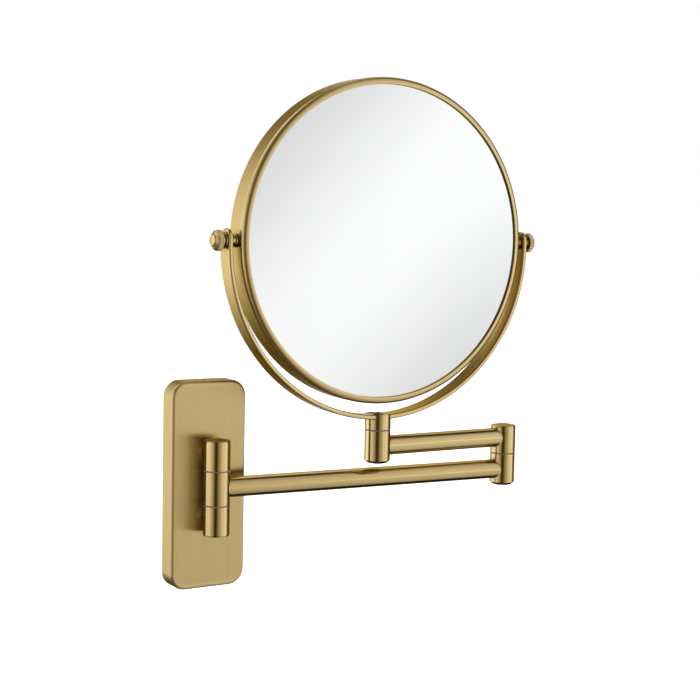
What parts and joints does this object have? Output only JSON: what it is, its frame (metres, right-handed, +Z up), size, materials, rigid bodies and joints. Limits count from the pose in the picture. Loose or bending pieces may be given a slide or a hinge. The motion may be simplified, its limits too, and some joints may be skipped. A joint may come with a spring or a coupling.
{
  "type": "extendable shaving mirror",
  "caption": "Round two-sided mirror in a U-shaped yoke on a folding two-part arm with a rectangular wall plate, all in brushed brass.",
  "frame": {"origin": "centre of the wall plate's back, on the wall plane", "axes": "+X to the user's right along the wall, +Y into the wall, +Z up; the mirror stands out towards -Y"},
  "size_m": [0.2482, 0.05, 0.3168],
  "materials": {
    "brushed_brass": "brushed satin",
    "steel": "zinc plated",
    "grey_nylon": "matt moulded nylon",
    "mirror_glass": "silvered float glass",
    "foam": "closed-cell foam"
  },
  "bodies": {
    "wall_mount": {"wall_bracket": "steel", "cover_plate": "brushed_brass", "cover_screws": "steel", "upper_fixed_knuckle": "brushed_brass", "lower_fixed_knuckle": "brushed_brass", "knuckle_screws": "steel", "base_hinge_pin": "steel", "base_cap_top": "brushed_brass", "base_cap_bottom": "brushed_brass", "base_ring_washers": "grey_nylon"},
    "lower_arm": {"base_arm_knuckle": "brushed_brass", "base_bush": "grey_nylon", "lower_arm_tube": "brushed_brass", "elbow_lower_knuckle": "brushed_brass", "elbow_bush": "grey_nylon", "elbow_ring_washer": "grey_nylon"},
    "upper_arm": {"elbow_upper_knuckle": "brushed_brass", "elbow_cap": "brushed_brass", "elbow_pin": "steel", "elbow_spring_washer": "steel", "elbow_nut": "brushed_brass", "upper_arm_tube": "brushed_brass", "swivel_knuckle": "brushed_brass", "swivel_bush": "grey_nylon", "swivel_ring_washer": "grey_nylon"},
    "yoke": {"swivel_post": "brushed_brass", "swivel_pin": "steel", "swivel_spring_washer": "steel", "swivel_nut": "brushed_brass", "yoke": "brushed_brass", "yoke_screw": "steel"},
    "mirror": {"mirror_frame": "brushed_brass", "rear_bezel": "brushed_brass", "plain_glass": "mirror_glass", "magnifying_glass": "mirror_glass", "packing_ring": "foam", "stud_nuts": "steel", "tilt_studs": "steel", "tilt_spacers": "brushed_brass", "tilt_washers": "brushed_brass"},
    "thumb_nut_left": {"thumb_nut_left": "brushed_brass"},
    "thumb_nut_right": {"thumb_nut_right": "brushed_brass"}
  },
  "joints": [
    {"name": "base_swing", "type": "hinge", "parent": "wall_mount", "child": "lower_arm", "pos_m": [0, -0.0244, 0], "axis": [0, 0, 1], "range_deg": [-175.5, 4.5]},
    {"name": "elbow_swing", "type": "hinge", "parent": "lower_arm", "child": "upper_arm", "pos_m": [0.20457, -0.0405, 0], "axis": [0, 0, 1], "continuous": true},
    {"name": "mirror_swivel", "type": "hinge", "parent": "upper_arm", "child": "yoke", "pos_m": [0.10567, -0.03946, 0], "axis": [0, 0, 1], "continuous": true},
    {"name": "mirror_tilt", "type": "hinge", "parent": "yoke", "child": "mirror", "pos_m": [0.10567, -0.03946, 0.1505], "axis": [0.9998, -0.0175, 0], "continuous": true},
    {"name": "left_nut_turn", "type": "hinge", "parent": "mirror", "child": "thumb_nut_left", "pos_m": [0.10567, -0.03946, 0.1505], "axis": [-0.9998, 0.0175, 0], "range_deg": [0, 360]},
    {"name": "right_nut_turn", "type": "hinge", "parent": "mirror", "child": "thumb_nut_right", "pos_m": [0.10567, -0.03946, 0.1505], "axis": [0.9998, -0.0175, 0], "range_deg": [0, 360]}
  ]
}
